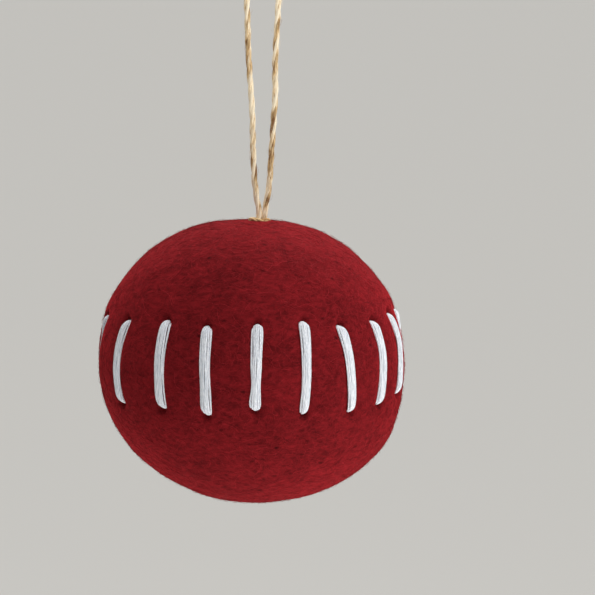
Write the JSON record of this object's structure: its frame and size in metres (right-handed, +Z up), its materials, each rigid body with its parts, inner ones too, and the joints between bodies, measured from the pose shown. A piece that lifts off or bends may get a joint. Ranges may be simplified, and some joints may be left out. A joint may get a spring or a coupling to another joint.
{
  "type": "felt christmas ornament",
  "caption": "Red felted wool ball with white yarn stitches round its middle, hung on a jute twine loop that swings and twists above the felt.",
  "frame": {"origin": "where a hook carries the twine loop, on the inside of the loop's top", "axes": "+Z up along the hanging line, -Y towards the front of the ball, +X to the right seen from the front"},
  "size_m": [0.1003, 0.1003, 0.1947],
  "materials": {
    "red_felt": "dark red needle-felted wool, matte, with fine matted fibres",
    "core_wool": "undyed carded wool, matte",
    "white_yarn": "white cotton yarn of loose parallel strands, matte",
    "jute_twine": "natural jute twine, softly twisted, hairy, with brown patches"
  },
  "bodies": {
    "hanger": {"hanging_loop": "jute_twine"},
    "neck": {"loop_neck": "jute_twine"},
    "knot": {"loop_knot": "jute_twine"},
    "ball": {"felt_cover": "red_felt", "wool_core": "core_wool", "loop_bight": "jute_twine", "loop_tails": "jute_twine", "anchor_knot": "jute_twine", "stitch_01": "white_yarn", "stitch_02": "white_yarn", "stitch_03": "white_yarn", "stitch_04": "white_yarn", "stitch_05": "white_yarn", "stitch_06": "white_yarn", "stitch_07": "white_yarn", "stitch_08": "white_yarn", "stitch_09": "white_yarn", "stitch_10": "white_yarn", "stitch_11": "white_yarn", "stitch_12": "white_yarn", "stitch_13": "white_yarn", "stitch_14": "white_yarn", "stitch_15": "white_yarn", "stitch_16": "white_yarn", "stitch_17": "white_yarn", "stitch_18": "white_yarn"}
  },
  "joints": [
    {"name": "loop_twist", "type": "hinge", "parent": "hanger", "child": "neck", "pos_m": [0, 0, -0.09375], "axis": [0, 0, 1], "range_deg": [-180, 180]},
    {"name": "loop_swing_side", "type": "hinge", "parent": "neck", "child": "knot", "pos_m": [0, 0, -0.0973], "axis": [0, 1, 0], "range_deg": [-75, 75]},
    {"name": "ball_swing_front", "type": "hinge", "parent": "knot", "child": "ball", "pos_m": [0, 0, -0.0973], "axis": [1, 0, 0], "range_deg": [-75, 75]}
  ]
}
